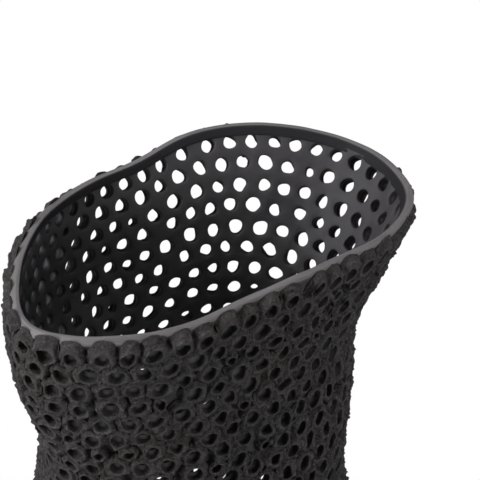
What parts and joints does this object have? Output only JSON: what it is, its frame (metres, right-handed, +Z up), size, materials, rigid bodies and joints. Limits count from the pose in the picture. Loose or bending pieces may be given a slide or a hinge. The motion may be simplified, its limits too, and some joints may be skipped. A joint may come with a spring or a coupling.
{
  "type": "pierced clay pot",
  "caption": "Free-form black clay pot with a flaring, slanting oval mouth, its wall pierced all over and every hole framed outside by a small clay collar.",
  "frame": {"origin": "middle of the flat underside", "axes": "+Z up from the underside to the mouth; +X towards the side on which the mouth flares most; +Y towards the mouth's high back, so the pictured front faces -Y"},
  "size_m": [0.3069, 0.2918, 0.3276],
  "materials": {
    "smooth_black_clay": "unglazed, smoothed with a wet tool, fine brush lines",
    "wall_black_clay": "unglazed, smooth matt to low sheen",
    "collar_black_clay": "unglazed, matt, crumbly with tool and finger marks"
  },
  "bodies": {
    "root": {"floor_slab": "smooth_black_clay", "mouth_band": "smooth_black_clay", "wall_coil_1": "wall_black_clay", "wall_coil_2": "wall_black_clay", "wall_coil_3": "wall_black_clay", "wall_coil_4": "wall_black_clay", "wall_coil_5": "wall_black_clay", "wall_coil_6": "wall_black_clay", "wall_coil_7": "wall_black_clay", "wall_coil_8": "wall_black_clay", "wall_coil_9": "wall_black_clay", "collar_row_01": "collar_black_clay", "collar_row_02": "collar_black_clay", "collar_row_03": "collar_black_clay", "collar_row_04": "collar_black_clay", "collar_row_05": "collar_black_clay", "collar_row_06": "collar_black_clay", "collar_row_07": "collar_black_clay", "collar_row_08": "collar_black_clay", "collar_row_09": "collar_black_clay", "collar_row_10": "collar_black_clay", "collar_row_11": "collar_black_clay", "collar_row_12": "collar_black_clay", "collar_row_13": "collar_black_clay", "collar_row_14": "collar_black_clay", "collar_row_15": "collar_black_clay", "collar_row_16": "collar_black_clay", "collar_row_17": "collar_black_clay", "collar_row_18": "collar_black_clay"}
  },
  "joints": []
}
